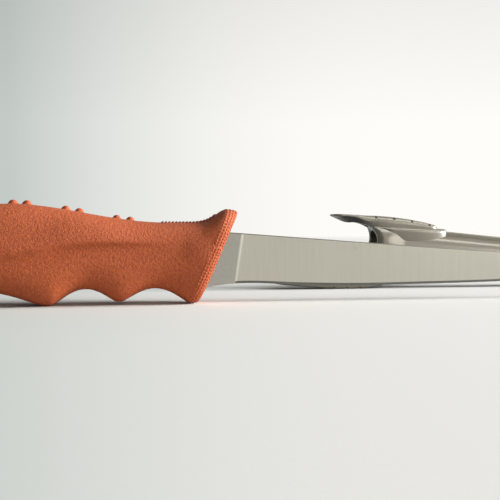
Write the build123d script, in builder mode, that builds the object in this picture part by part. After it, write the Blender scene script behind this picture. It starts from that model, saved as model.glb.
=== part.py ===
from build123d import *
import math
import os

# Fillet knife and its taken-off sheath, in millimetres.
# +X runs from the handle to the blade's tip, +Y away from the viewer, +Z up.
# The knife stands on the lobes of its grip, the sheath stands behind it on the same floor,
# and the origin is the bottom centre of the box round both.

# How the set stands
sheath_aside = 70.0          # from the knife's middle plane to the sheath's
sheath_ahead = 99.0          # from the front lobe to the mouth of the sheath
overrun = 5.0                # how far every cut runs past its surface
ring_points = 16             # points round each lofted section
squareness = 2.4             # 2 is an ellipse, more is squarer

# Blade, stainless steel, ground flat from its back to its edge
blade_length = 187.8         # from the heel, at the foot of the guard, to the tip
heel_ahead = 5.2             # heel to front lobe
edge_lift = 6.0              # height of the heel's edge over the floor
heel_height = 20.0           # edge to back at the start of the grind
spine_thickness = 1.8
edge_thickness = 0.5         # where the grind meets the sharpened edge
bevel_height = 0.7           # height of the sharpened edge
grind_start = 13.0           # heel to the start of the grind, at the edge
grind_lean = 2.9             # how much further forward the grind starts at the back
tip_taper_share = 0.45       # thickness lost from heel to tip
tip_stop_share = 0.995

# Tang, hidden in the handle
tang_length = 95.0           # behind the heel
tang_height = 13.0
tang_lift = 11.6             # its lower side over the floor
tang_shoulder = 9.0          # depth of the full-height heel inside the guard
tang_corner = 2.5
tang_hole_radius = 3.0
tang_hole_shares = (0.25, 0.52, 0.79)

# Grip, soft overmould
grip_back = 115.0            # butt to front lobe
grip_width = 28.0            # across the palm swell
waist_width = 22.0           # behind the guard
guard_width = 27.0
butt_width = 23.5
palm_top = 39.3              # heights over the floor
waist_top = 32.1
guard_top = 37.5
butt_top = 34.0
waist_back = 8.0             # places of these, from the front lobe
palm_back = 70.0
swell_back = 84.0
ramp_start = 1.0
ramp_end = 13.8
guard_foot = 1.75            # front face of the guard at the floor
guard_slant = 23.3           # degrees from upright
rim_radius = 2.6
lean_start = 46.0            # where the sections begin to lean towards the guard
butt_round = 9.0
butt_turns = (18, 36, 54, 72, 90)   # degrees round the butt, one section at each
crest_butt_share = 0.45      # where the side is widest, as a share of its height
crest_gain_share = 0.17      # how much higher that is behind the guard
ramp_power = 1.3             # more starts the thumb ramp later
swell_power = 1.1

# Lobes of the finger grooves: place behind the front lobe, and height over the floor
# and half the length that rests on it
front_lobe_rest = 0.3
middle_lobe_back = 28.9
middle_lobe_lift = 1.1
middle_lobe_rest = 0.3
rear_lobe_back = 55.9
rear_lobe_rest = 0.9
butt_lobe_back = 106.5
butt_lobe_lift = 1.6
butt_lobe_rest = 0.5
finger_groove_depth = 5.6
rear_groove_depth = 5.0
lobe_round_share = 0.22      # more makes the lobes blunter
groove_steps = 9             # sections from lobe to lobe

# Raised and sunk details of the grip
bump_places = (27.0, 46.6, 66.4, 86.2)
bump_spacing = 5.2           # between the two bumps of a pair
bump_radii = (1.6, 1.75, 1.9, 2.0)
bump_sink_share = 0.15
rib_count = 16
rib_pitch = 1.37
rib_width = 0.7
rib_height = 0.45
rib_first_back = 11.7
rib_reach = 10.0             # across the thumb ramp
thumb_recess_radius = 6.2
thumb_recess_depth = 0.55
thumb_recess_back = 1.2
thumb_recess_lift = 21.2

# Core, hard moulding round the tang
core_width = 14.0
core_lift = 8.6
core_height = 19.0
core_front_back = 7.0        # its front end behind the front lobe
core_end_back = 108.5
core_edge_radius = 2.5
core_window_length = 14.0
core_window_height = 7.0
lanyard_radius = 3.25
lanyard_back = 101.5
lanyard_lift = 18.5
lanyard_boss_radius = 5.6
lanyard_boss_inset = 0.9     # its ends below the sides of the grip

# Sheath, two moulded halves
sheath_length = 187.0        # mouth to tail
wall = 1.8
tube_width = 15.5
tail_width = 10.5
tube_top = 31.8              # heights of the rail's top and the tube's foot at the mouth
tube_foot = 5.6
tail_top = 13.6              # height of the rail's top at the tail
tail_round = 7.0
tail_rest = 12.0             # stretch at the tail that lies on the floor
pocket_stop = 4.0            # closed stretch at the tail
pocket_roof = 1.0            # wall of the tube under its rail
rail_width = 4.6             # rail along the top seam of the tube
rail_height = 2.2
rail_start = 20.0            # behind the mouth
rail_edge_radius = 0.5
drain_radius = 1.6
collar_length = 38.0
collar_proud = 1.2           # how far it stands out at the sides, then at the top
collar_top_proud = 3.6
collar_foot_length = 30.0
collar_side_length = 9.0
collar_edge = 4.0            # stretch over which its end falls to the tube
collar_low_share = 0.42      # heights between which its end runs back along the side
collar_high_share = 0.86
collar_steps = 24            # sections of the collar and of the tube
tube_steps = 18
tail_turns = (70, 50, 32, 18)       # degrees round the tail, one section at each

# Ridges along the seam, each with a tongue that reaches past the mouth
ridge_width = 10.0
ridge_edge_radius = 1.6
tongue_wall = 1.4            # sides of the hollow under the top tongue
top_lift = 36.8              # top ridge: height over the floor, reach and drop
top_tongue_reach = 22.7
top_ridge_length = 33.7
top_ridge_drop = 6.5
foot_tongue_reach = 50.7
foot_ridge_length = 26.0
foot_ridge_rise = 9.0
notch_pitch = 9.45
notch_width = 1.1
notch_depth = 1.3
notch_count = 4
notch_start = -0.3           # behind the mouth
foot_notch_pitch = 6.6
foot_notch_width = 0.8
foot_notch_depth = 0.5
foot_notch_count = 3
foot_notch_start = 22.0      # ahead of the mouth

# Belt clip on the far side
clip_width = 14.0
clip_thickness = 2.4
clip_gap = 5.0
clip_length = 58.0
clip_base_length = 30.0
clip_start = 12.0            # its bend behind the mouth
clip_lift = 17.0             # its middle over the floor
clip_lip = 1.5               # how far the end of the spring leg turns in
clip_lip_length = 4.0
pad_height = 2.6
pad_margin = 1.5
screw_spacing = 16.0
screw_radius = 1.5
screw_head_radius = 2.8
screw_length = 6.2
screw_drive_radius = 0.9
screw_drive_depth = 1.0
screw_head_taper = 45       # degrees
screw_access_radius = 3.2
insert_radius = 2.3
insert_length = 4.0
thread_play = 0.05

# Places of the two halves of the set in its frame
clip_reach = tube_width / 2 + collar_proud + pad_height + 2 * clip_thickness + clip_gap
set_length = grip_back + sheath_ahead + sheath_length
set_depth = grip_width / 2 + sheath_aside + clip_reach
lobe_x = grip_back - set_length / 2
knife_y = grip_width / 2 - set_depth / 2
mouth_x = lobe_x + sheath_ahead
sheath_y = knife_y + sheath_aside
heel_x = lobe_x + heel_ahead


def ease(share):
    """Smooth step from 0 to 1."""
    held = min(max(share, 0.0), 1.0)
    return held * held * (3 - 2 * held)


def along(points, place):
    """Height of a smooth line through the points at one place."""
    places = [point[0] for point in points]
    heights = [point[1] for point in points]
    last = len(points) - 1
    slopes = [(heights[i + 1] - heights[i]) / (places[i + 1] - places[i]) for i in range(last)]
    turns = [slopes[0]] + [(slopes[i] + slopes[i + 1]) / 2 for i in range(last - 1)] + [slopes[-1]]
    span = min(max(sum(1 for start in places if start <= place) - 1, 0), last - 1)
    step = places[span + 1] - places[span]
    t = (place - places[span]) / step
    rise = heights[span + 1] - heights[span]
    bend = (1 - t) * (turns[span] * step - rise) + t * (rise - turns[span + 1] * step)
    return heights[span] + t * rise + t * (1 - t) * bend


def side(x, z, y):
    """Plane seen from the near side, at a place of the set."""
    return Plane(origin=(x, y, z), x_dir=(1, 0, 0), z_dir=(0, -1, 0))


def cross_section(low, high, y):
    """Plane across the set through a low and a high point, each (x, z)."""
    middle = ((low[0] + high[0]) / 2, y, (low[1] + high[1]) / 2)
    rise = Vector(high[0] - low[0], 0, high[1] - low[1])
    return Plane(origin=middle, x_dir=(0, -1, 0), z_dir=Vector(0, -1, 0).cross(rise))


ring_parameters = [turn / ring_points for turn in range(ring_points + 1)]


def oval(half_width, half_height, wide_share):
    """Smooth edge round a squarish egg that is widest at a share of its height."""
    widest = half_height * (2 * wide_share - 1)
    points = []
    for turn in range(ring_points):
        angle = 2 * math.pi * turn / ring_points + math.pi / 2
        across = math.cos(angle)
        up = math.sin(angle)
        reach = half_height - widest if up > 0 else half_height + widest
        points.append((
            math.copysign(half_width * abs(across) ** (2 / squareness), across),
            widest + math.copysign(reach * abs(up) ** (2 / squareness), up),
        ))
    return Edge.make_spline(points, periodic=True, parameters=ring_parameters)


# Blade

edge_shares = (
    (0.0, 0.0), (0.033, 0.055), (0.087, 0.085), (0.21, 0.04), (0.345, 0.015),
    (0.485, 0.03), (0.675, 0.065), (0.80, 0.12), (0.90, 0.235), (0.96, 0.385), (1.0, 0.56),
)
back_shares = ((0.0, 1.147), (0.675, 0.6925), (0.85, 0.597), (1.0, 0.56))


def edge_point(share):
    """Point of the blade's edge at a share of its length."""
    return (heel_x + share * blade_length, edge_lift + heel_height * along(edge_shares, share))


def back_point(share):
    """Point of the blade's back at a share of its length."""
    return (heel_x + share * blade_length, edge_lift + heel_height * along(back_shares, share))


def blade_ring(share, height):
    """Cross-section of the ground blade: flat back, two grinds and two bevels."""
    full = min(1.0, height / (heel_height / 2))
    back = spine_thickness / 2 * (1 - tip_taper_share * share) * math.sqrt(full)
    shoulder = min(edge_thickness / 2, back / 2)
    bevel = min(bevel_height, height / 3)
    top = height / 2
    half = [(back, top), (shoulder, bevel - top)]
    return half + [(0, -top)] + [(-across, up) for across, up in reversed(half)]


grind_share = grind_start / blade_length
lean_share = grind_lean / blade_length
station_shares = (0.0, 0.06, 0.16, 0.3, 0.45, 0.6, 0.72, 0.81, 0.88, 0.93, 0.965, 0.985, 1.0)

tang_end = heel_x - tang_length
shoulder_x = heel_x - tang_shoulder
shoulder_top_x = shoulder_x + heel_height * math.tan(math.radians(guard_slant))
grind_foot = edge_point(grind_share)
grind_head = back_point(grind_share + lean_share)


def tang_hole_plane(share):
    """Plane across the tang at one of its holes, by its share of the tang's length."""
    return side(heel_x - share * tang_length, tang_lift + tang_height / 2, knife_y)


with BuildPart() as blade:
    for station in station_shares:
        share = grind_share + station * (tip_stop_share - grind_share)
        low = edge_point(share)
        high = back_point(share + lean_share * (1 - station))
        height = math.dist(low, high)
        with BuildSketch(cross_section(low, high, knife_y)):
            with BuildLine():
                Polyline(*blade_ring(share, height), close=True)
            make_face()
    loft()
    with BuildSketch(side(0, 0, knife_y)):
        with BuildLine():
            heel_line = [edge_point(grind_share * part) for part in (0.0, 0.5, 1.0)]
            Spline(*heel_line)
            Polyline(
                grind_foot,
                grind_head,
                back_point(0.0),
                (shoulder_top_x, back_point(0.0)[1]),
                (shoulder_top_x - tang_corner, tang_lift + tang_height),
                (tang_end + tang_height / 2, tang_lift + tang_height),
            )
            ThreePointArc(
                (tang_end + tang_height / 2, tang_lift + tang_height),
                (tang_end, tang_lift + tang_height / 2),
                (tang_end + tang_height / 2, tang_lift),
            )
            Polyline(
                (tang_end + tang_height / 2, tang_lift),
                (shoulder_x - tang_corner, tang_lift),
                (shoulder_x, edge_lift),
                heel_line[0],
            )
        make_face()
    extrude(amount=spine_thickness / 2, both=True)
    with Locations(*[tang_hole_plane(share) for share in tang_hole_shares]):
        Cylinder(tang_hole_radius, spine_thickness + overrun, mode=Mode.SUBTRACT)
blade.part.label = "blade"

# Core

core_front = lobe_x - core_front_back
core_end = lobe_x - core_end_back
lanyard_plane = side(lobe_x - lanyard_back, lanyard_lift, knife_y)
boss_width = butt_width - 2 * lanyard_boss_inset

with BuildPart() as handle_core:
    core_middle = side((core_front + core_end) / 2, core_lift + core_height / 2, knife_y)
    with BuildSketch(core_middle):
        RectangleRounded(core_front - core_end, core_height, core_height / 3)
    extrude(amount=core_width / 2, both=True)
    fillet(faces().filter_by(Axis.Y).edges(), core_edge_radius)
    with BuildSketch(*[tang_hole_plane(share) for share in tang_hole_shares[::2]]):
        SlotOverall(core_window_length, core_window_height)
    extrude(amount=core_width, both=True, mode=Mode.SUBTRACT)
    with Locations(lanyard_plane):
        Cylinder(lanyard_boss_radius, boss_width)
        Cylinder(lanyard_radius, boss_width + overrun, mode=Mode.SUBTRACT)
    add(blade.part, mode=Mode.SUBTRACT)
handle_core.part.label = "handle_core"

# Outline of the grip, by its heights over the floor at a place behind the front lobe

lobes = (
    (butt_lobe_back, butt_lobe_lift, butt_lobe_rest),
    (rear_lobe_back, 0.0, rear_lobe_rest),
    (middle_lobe_back, middle_lobe_lift, middle_lobe_rest),
    (0.0, 0.0, front_lobe_rest),
)
groove_depths = (rear_groove_depth, finger_groove_depth, finger_groove_depth)


def under_height(back):
    """Height of the grip's underside: grooves between lobes."""
    for (far, far_lift, far_rest), (near, near_lift, near_rest), depth in zip(
        lobes, lobes[1:], groove_depths,
    ):
        if back > far - far_rest:
            return far_lift
        if back >= near + near_rest:
            share = (back - near - near_rest) / (far - far_rest - near - near_rest)
            wave = math.hypot(math.sin(math.pi * share), lobe_round_share) - lobe_round_share
            hollow = depth * wave / (math.hypot(1, lobe_round_share) - lobe_round_share)
            return near_lift + (far_lift - near_lift) * share + hollow
    return 0.0


def over_height(back):
    """Height of the grip's back: thumb ramp, waist, palm swell and butt."""
    if back < waist_back:
        share = max((-ramp_start - back) / (ramp_end - ramp_start), 0.0)
        return waist_top + (guard_top - waist_top) * ease(share ** ramp_power)
    if back < palm_back:
        share = (back - waist_back) / (palm_back - waist_back)
        return waist_top + (palm_top - waist_top) * ease(share ** swell_power)
    share = (back - palm_back) / (grip_back - palm_back)
    return palm_top + (butt_top - palm_top) * ease(share)


def half_width(back):
    """Half the width of the grip in plan."""
    if back < waist_back:
        share = (waist_back - back) / (waist_back + ramp_end)
        return (waist_width + (guard_width - waist_width) * ease(share)) / 2
    if back < swell_back:
        share = (back - waist_back) / (swell_back - waist_back)
        return (waist_width + (grip_width - waist_width) * ease(share)) / 2
    share = (back - swell_back) / (grip_back - swell_back)
    return (grip_width + (butt_width - grip_width) * ease(share)) / 2


def crest_share(back):
    """Where the side is widest, as a share of its height: the soft crease of the grip."""
    forward = (swell_back - back) / (swell_back - waist_back)
    return crest_butt_share + crest_gain_share * ease(forward)


guard_rise = math.tan(math.radians(guard_slant))
guard_lean = guard_foot + guard_top * guard_rise
settle_share = 0.0001        # how closely a section's foot is found


def lean_at(back):
    """How far the top of a section is ahead of its foot."""
    share = (lean_start - back) / (lean_start + guard_foot)
    return guard_top * guard_rise * ease(share) if share > 0 else 0.0


def grip_section(back):
    """Plane of the section at one place of the foot, its half width and height, and its crest."""
    head_back = back - lean_at(back)
    low = (lobe_x - back, under_height(back))
    high = (lobe_x - head_back, over_height(head_back))
    middle = (back + head_back) / 2
    plane = cross_section(low, high, knife_y)
    return plane, half_width(middle), math.dist(low, high) / 2, crest_share(middle)


def foot_under(head_back):
    """Place of the foot of the section whose head is at one place, found by halving."""
    near = head_back
    far = head_back + guard_lean
    while far - near > far * settle_share:
        back = (near + far) / 2
        if back - lean_at(back) < head_back:
            near = back
        else:
            far = back
    return near


def stations():
    """Places of the grip's sections and their scales, from the round butt to the guard."""
    places = []
    for turn in butt_turns:
        angle = math.radians(turn)
        inward = 1 - math.cos(angle) / math.cos(math.radians(butt_turns[0]))
        places.append((grip_back - butt_round * inward, math.sin(angle)))
    for (far, _, _), (near, _, _) in zip(lobes, lobes[1:]):
        step = (far - near) / groove_steps
        places += [(far - number * step, 1.0) for number in range(1, groove_steps + 1)]
    return places + [(-guard_foot, 1.0)]


with BuildPart() as handle_grip:
    for back, scale in stations():
        plane, half_across, half_up, crest = grip_section(back)
        with BuildSketch(plane):
            with BuildLine():
                add(oval(half_across * scale, half_up * scale, crest))
            make_face()
    loft()
    guard_face = faces().filter_by(GeomType.PLANE).sort_by(Axis.X)[-1]
    fillet(guard_face.edges(), rim_radius)
    for place, radius in zip(bump_places, bump_radii):
        for back in (place - bump_spacing / 2, place + bump_spacing / 2):
            sunk = over_height(back) - bump_sink_share * radius
            with Locations((lobe_x - back, knife_y, sunk)):
                Sphere(radius)
    for number in range(rib_count):
        foot = foot_under(rib_first_back - number * rib_pitch)
        plane, half_across, half_up, crest = grip_section(foot)
        with BuildSketch(plane):
            with BuildLine():
                add(oval(half_across + rib_height, half_up + rib_height, crest))
            make_face()
            with Locations((0, half_up)):
                Rectangle(rib_reach, half_up, mode=Mode.INTERSECT)
        extrude(amount=rib_width / 2, both=True)
    hollow_radius = (thumb_recess_radius ** 2 + thumb_recess_depth ** 2) / (2 * thumb_recess_depth)
    hollow_out = half_width(thumb_recess_back) - thumb_recess_depth + hollow_radius
    with Locations(*[
        (lobe_x - thumb_recess_back, knife_y + out, thumb_recess_lift)
        for out in (-hollow_out, hollow_out)
    ]):
        Sphere(hollow_radius, mode=Mode.SUBTRACT)
    with Locations(lanyard_plane):
        Cylinder(lanyard_boss_radius, grip_width + overrun, mode=Mode.SUBTRACT)
    add(handle_core.part, mode=Mode.SUBTRACT)
    add(blade.part, mode=Mode.SUBTRACT)
handle_grip.part.label = "handle_grip"

# Outline of the sheath, by its depth behind the mouth

foot_end = sheath_length - tail_rest


def top_at(depth):
    """Height of the rail's top."""
    return tube_top + (tail_top - tube_top) * depth / sheath_length


def tube_section(depth, inset, roof):
    """Low point, high point and half width of the tube, or of the pocket inside its walls."""
    foot = tube_foot * max(1 - depth / foot_end, 0.0)
    top = top_at(depth) - rail_height
    half = (tube_width + (tail_width - tube_width) * depth / sheath_length) / 2
    return (mouth_x + depth, foot + inset), (mouth_x + depth, top - roof), half - inset


def collar_end(up):
    """How far the collar reaches behind the mouth, at a height from -1 to 1 round its section."""
    reach = collar_length if up > 0 else collar_foot_length
    share = (abs(up) - collar_low_share) / (collar_high_share - collar_low_share)
    return collar_side_length + (reach - collar_side_length) * ease(share)


def tube_ring(depth, inset=0.0, roof=0.0, scale=1.0, collar=0):
    """Section of the tube or its pocket, with the collar standing proud where it reaches."""
    low, high, half = tube_section(depth, inset, roof)
    half_up = math.dist(low, high) / 2
    points = []
    for turn in range(ring_points):
        angle = 2 * math.pi * turn / ring_points + math.pi / 2
        across = math.cos(angle)
        up = math.sin(angle)
        cover = collar * ease((collar_end(up) - depth) / collar_edge)
        out = half * scale + cover * collar_proud
        over = half_up * scale + cover * (collar_top_proud if up > 0 else collar_proud)
        points.append((
            math.copysign(out * abs(across) ** (2 / squareness), across),
            math.copysign(over * abs(up) ** (2 / squareness), up),
        ))
    with BuildSketch(cross_section(low, high, sheath_y)) as ring:
        with BuildLine():
            add(Edge.make_spline(points, periodic=True, parameters=ring_parameters))
        make_face()
    return ring.sketch


# Side outline of the mouth's rim, as shares of the tube's height there: back from the mouth, up
rim_shares = (
    (-0.17, 1.20), (-0.15, 1.10), (-0.10, 0.98), (-0.03, 0.86), (0.0, 0.74), (-0.015, 0.63),
    (-0.08, 0.42), (-0.17, 0.24), (-0.28, 0.08), (-0.42, -0.08), (-0.62, -0.25),
)

# Side outline of the top ridge, and of the hollow under its tongue: shares of the tongue's
# reach or the ridge's length, then of its drop
tongue_under_shares = (
    (1.0, 0.13), (0.94, 0.22), (0.828, 0.385), (0.709, 0.554), (0.586, 0.631), (0.485, 0.61),
    (0.344, 0.69), (0.22, 0.83), (0.12, 1.0),
)
tongue_over_shares = ((0.95, 0.0), (0.52, 0.045), (0.22, 0.10))
ridge_over_shares = ((0.0, 0.115), (0.31, 0.24), (0.60, 0.455), (0.88, 0.76), (0.97, 0.93))
ridge_end_shares = ((1.0, 1.1), (0.8, 1.3))
hollow_shares = ((0.86, 0.30), (0.5, 0.31), (0.1, 0.36), (0.1, 1.4), (0.86, 1.4))

# Side outline of the foot ridge: shares of the tongue's reach or the ridge's length, then of
# its rise
foot_under_shares = (
    (1.0, 0.29), (0.83, 0.19), (0.65, 0.10), (0.47, 0.03), (0.296, 0.003), (0.148, 0.015),
    (0.04, 0.07),
)
foot_ridge_shares = ((0.07, 0.14), (0.30, 0.32), (0.65, 0.50), (1.0, 0.62))
foot_over_shares = ((1.0, 0.39), (0.79, 0.53), (0.5, 0.58), (0.2, 0.68), (0.0, 0.95))

tube_height = tube_top - tube_foot          # with its rail
before_mouth = tube_height / 2
side_view = side(0, 0, sheath_y)


def rim_point(share_back, share_up):
    """Point of the sheath's side view, in shares of the tube's height at the mouth."""
    return (mouth_x + share_back * tube_height, tube_foot + share_up * tube_height)


def top_point(reach, share_drop):
    """Point of the top ridge at a place from the mouth, down from its highest line."""
    return (mouth_x + reach, top_lift - share_drop * top_ridge_drop)


def foot_point(reach, share_rise):
    """Point of the foot ridge at a place from the mouth, up from the floor."""
    return (mouth_x + reach, share_rise * foot_ridge_rise)


def pad_plane(depth_behind_face, x=0.0):
    """Plane parallel to the clip's pad, facing out, at a place along the sheath."""
    return Plane(
        origin=(mouth_x + x, pad_face - depth_behind_face, clip_lift),
        x_dir=(1, 0, 0),
        z_dir=(0, 1, 0),
    )


pad_face = sheath_y + tube_width / 2 + collar_proud + pad_height
pad_length = clip_base_length + pad_margin
screw_middle = clip_start + clip_base_length / 2
screw_places = (screw_middle - screw_spacing / 2, screw_middle + screw_spacing / 2)

with BuildPart() as top_ridge:
    with BuildSketch(side_view):
        with BuildLine():
            under = Spline(*[
                top_point(-reach * top_tongue_reach, drop) for reach, drop in tongue_under_shares
            ])
            over = Spline(
                *[top_point(-reach * top_tongue_reach, drop) for reach, drop in tongue_over_shares],
                *[top_point(reach * top_ridge_length, drop) for reach, drop in ridge_over_shares],
            )
            Line(under @ 0, over @ 0)
            end = [top_point(reach * top_ridge_length, drop) for reach, drop in ridge_end_shares]
            Polyline(over @ 1, *end, under @ 1)
        make_face()
    extrude(amount=ridge_width / 2, both=True)
    fillet(faces().filter_by(Axis.Y).edges().sort_by(Axis.Z)[-2:], ridge_edge_radius)
    with BuildSketch():
        with Locations((mouth_x + (top_ridge_length - top_tongue_reach) / 2, sheath_y)):
            SlotOverall(top_ridge_length + top_tongue_reach, ridge_width)
    extrude(amount=top_lift + overrun, mode=Mode.INTERSECT)
    with BuildSketch(side_view):
        with BuildLine():
            hollow = [top_point(-reach * top_tongue_reach, drop) for reach, drop in hollow_shares]
            Polyline(*hollow, close=True)
        make_face()
    extrude(amount=ridge_width / 2 - tongue_wall, both=True, mode=Mode.SUBTRACT)
    for number in range(notch_count):
        reach = notch_start + number * notch_pitch
        line = top_point(reach, along(ridge_over_shares, reach / top_ridge_length))
        with Locations((line[0], sheath_y, line[1])):
            Box(notch_width, ridge_width + overrun, 2 * notch_depth, mode=Mode.SUBTRACT)

with BuildPart() as foot_ridge:
    with BuildSketch(side_view):
        with BuildLine():
            under = Spline(
                *[foot_point(-reach * foot_tongue_reach, rise) for reach, rise in foot_under_shares],
                *[foot_point(reach * foot_ridge_length, rise) for reach, rise in foot_ridge_shares],
            )
            over = Spline(*[
                foot_point(-reach * foot_tongue_reach, rise) for reach, rise in foot_over_shares
            ])
            Line(under @ 0, over @ 0)
            Line(over @ 1, under @ 1)
        make_face()
    extrude(amount=ridge_width / 2, both=True)
    with BuildSketch():
        with Locations((mouth_x + (foot_ridge_length - foot_tongue_reach) / 2, sheath_y)):
            SlotOverall(foot_ridge_length + foot_tongue_reach, ridge_width)
    extrude(amount=tube_top, mode=Mode.INTERSECT)
    with Locations(*[
        (mouth_x - foot_notch_start + number * foot_notch_pitch, sheath_y, 0)
        for number in range(foot_notch_count)
    ]):
        Box(foot_notch_width, ridge_width + overrun, 2 * foot_notch_depth, mode=Mode.SUBTRACT)

with BuildPart() as rail:
    with BuildSketch(side_view):
        with BuildLine():
            ends = (rail_start, sheath_length - tail_round)
            over = [(mouth_x + depth, top_at(depth)) for depth in ends]
            under = [(mouth_x + depth, top_at(depth) - 2 * rail_height) for depth in ends]
            Polyline(*over, *under[::-1], close=True)
        make_face()
    extrude(amount=rail_width / 2, both=True)
    fillet(edges().filter_by(Axis.Y).sort_by(Axis.X)[-2:].sort_by(Axis.Z)[-1], rail_height)
    fillet(faces().sort_by(Axis.Z)[-1].edges().sort_by(Axis.Y)[::3], rail_edge_radius)

with BuildPart() as sheath:
    collar_span = before_mouth + collar_length + collar_edge
    loft([
        tube_ring(collar_span * number / collar_steps - before_mouth, collar=1)
        for number in range(collar_steps + 1)
    ])
    tube_start = collar_span - before_mouth
    tube_span = sheath_length - tail_round - tube_start
    rings = [
        tube_ring(tube_start + tube_span * number / tube_steps) for number in range(tube_steps + 1)
    ]
    for turn in tail_turns:
        angle = math.radians(turn)
        outward = tail_round * math.cos(angle) / math.cos(math.radians(tail_turns[-1]))
        rings.append(tube_ring(tube_start + tube_span + outward, scale=math.sin(angle)))
    loft(rings)
    with BuildSketch(side_view):
        with BuildLine():
            rim_line = Spline(*[rim_point(*share) for share in rim_shares])
            Polyline(
                rim_line @ 1,
                (mouth_x - tube_height, (rim_line @ 1).Y),
                (mouth_x - tube_height, (rim_line @ 0).Y),
                rim_line @ 0,
            )
        make_face()
    extrude(amount=tube_width, both=True, mode=Mode.SUBTRACT)
    add(rail.part)
    add(top_ridge.part)
    add(foot_ridge.part)
    with BuildSketch(pad_plane(0, screw_middle)):
        RectangleRounded(pad_length, clip_width + 2 * pad_margin, 2 * pad_margin)
    extrude(amount=-tube_width / 2)
    pocket_span = before_mouth / 2 + sheath_length - pocket_stop
    loft([
        tube_ring(pocket_span * number / tube_steps - before_mouth / 2, wall, pocket_roof)
        for number in range(tube_steps + 1)
    ], mode=Mode.SUBTRACT)
    with Locations(*[pad_plane(insert_length / 2, place) for place in screw_places]):
        Cylinder(insert_radius, insert_length, mode=Mode.SUBTRACT)
    tail_end = Plane(origin=(mouth_x + sheath_length, sheath_y, tail_top / 2), z_dir=(1, 0, 0))
    with Locations(tail_end):
        Cylinder(drain_radius, 3 * pocket_stop, mode=Mode.SUBTRACT)

with BuildPart() as sheath_near_shell:
    add(sheath.part)
    split(bisect_by=side_view, keep=Keep.TOP)
sheath_near_shell.part.label = "sheath_near_shell"

with BuildPart() as sheath_far_shell:
    add(sheath.part)
    split(bisect_by=side_view, keep=Keep.BOTTOM)
sheath_far_shell.part.label = "sheath_far_shell"

# Belt clip, its screws and their inserts

bend_x = mouth_x + clip_start
bend_inner = clip_gap / 2
bend_outer = clip_thickness + bend_inner
bend_y = pad_face + bend_outer
leg_inner = bend_y + bend_inner
leg_outer = bend_y + bend_outer
base_face = pad_face + clip_thickness
leg_end = bend_x + clip_length
base_end = bend_x + clip_base_length

with BuildPart() as belt_clip:
    with BuildSketch(Plane.XY.offset(clip_lift)):
        with BuildLine():
            ThreePointArc((bend_x, pad_face), (bend_x - bend_outer, bend_y), (bend_x, leg_outer))
            Polyline(
                (bend_x, leg_outer),
                (leg_end, leg_outer),
                (leg_end, leg_inner),
                (leg_end - clip_lip_length / 2, leg_inner - clip_lip),
                (leg_end - 2 * clip_lip_length, leg_inner),
                (bend_x, leg_inner),
            )
            ThreePointArc((bend_x, leg_inner), (bend_x - bend_inner, bend_y), (bend_x, base_face))
            Polyline(
                (bend_x, base_face),
                (base_end, base_face),
                (base_end, pad_face),
                (bend_x, pad_face),
            )
        make_face()
    extrude(amount=clip_width / 2, both=True)
    fillet(edges().filter_by(Axis.Y).sort_by(Axis.X)[-2:], clip_width / 3)
    with Locations(*[pad_plane(-clip_thickness, place) for place in screw_places]):
        CounterSinkHole(
            screw_radius + thread_play,
            screw_head_radius + thread_play,
            clip_thickness,
            2 * screw_head_taper,
        )
    with Locations(*[pad_plane(-2 * clip_thickness - clip_gap, place) for place in screw_places]):
        Cylinder(screw_access_radius, 2 * clip_thickness, mode=Mode.SUBTRACT)
belt_clip.part.label = "belt_clip"

with BuildPart() as clip_inserts:
    with Locations(*[pad_plane(insert_length / 2, place) for place in screw_places]):
        Cylinder(insert_radius, insert_length)
        Cylinder(screw_radius + thread_play, insert_length + overrun, mode=Mode.SUBTRACT)
clip_inserts.part.label = "clip_inserts"

screw_head_height = screw_head_radius - screw_radius

with BuildPart() as clip_screws:
    for place in screw_places:
        with BuildSketch(pad_plane(-clip_thickness, place)):
            Circle(screw_head_radius)
        extrude(amount=-screw_head_height, taper=screw_head_taper)
        with Locations(pad_plane(screw_length / 2 - clip_thickness, place)):
            Cylinder(screw_radius, screw_length)
        with Locations(pad_plane(-clip_thickness, place)):
            Cylinder(screw_drive_radius, 2 * screw_drive_depth, mode=Mode.SUBTRACT)
clip_screws.part.label = "clip_screws"

os.makedirs("parts", exist_ok=True)
for piece in (
    blade, handle_core, handle_grip, sheath_near_shell, sheath_far_shell,
    belt_clip, clip_inserts, clip_screws,
):
    export_step(piece.part, f"parts/{piece.part.label}.step")
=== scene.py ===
import math

import bmesh
import bpy
from mathutils import Matrix, Vector


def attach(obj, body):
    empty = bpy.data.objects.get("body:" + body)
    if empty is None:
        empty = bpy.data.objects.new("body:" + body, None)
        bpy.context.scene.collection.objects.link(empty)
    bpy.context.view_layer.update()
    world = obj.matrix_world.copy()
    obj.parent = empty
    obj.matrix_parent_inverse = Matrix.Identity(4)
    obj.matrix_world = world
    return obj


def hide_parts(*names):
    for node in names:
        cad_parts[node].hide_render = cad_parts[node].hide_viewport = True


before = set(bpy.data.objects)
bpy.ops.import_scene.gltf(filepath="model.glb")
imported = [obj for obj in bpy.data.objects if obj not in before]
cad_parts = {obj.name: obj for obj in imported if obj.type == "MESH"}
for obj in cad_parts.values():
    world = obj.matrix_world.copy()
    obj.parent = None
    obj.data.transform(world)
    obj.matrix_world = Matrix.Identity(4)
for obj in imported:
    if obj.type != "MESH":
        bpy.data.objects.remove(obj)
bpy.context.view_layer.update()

# Camera, low in front of the knife and turned ten degrees along it, as for the photograph.
# It is nearly level, so the floor is seen at a glancing angle.

camera_place = (-0.121578, -0.376887, 0.029950)
camera_turn = math.radians(10.0)
camera_dip = math.radians(1.4826)


def put_in_scene(name, data):
    """Put a camera, a mesh or a lamp into the scene."""
    piece = bpy.data.objects.new(name, data)
    bpy.context.scene.collection.objects.link(piece)
    return piece


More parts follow.
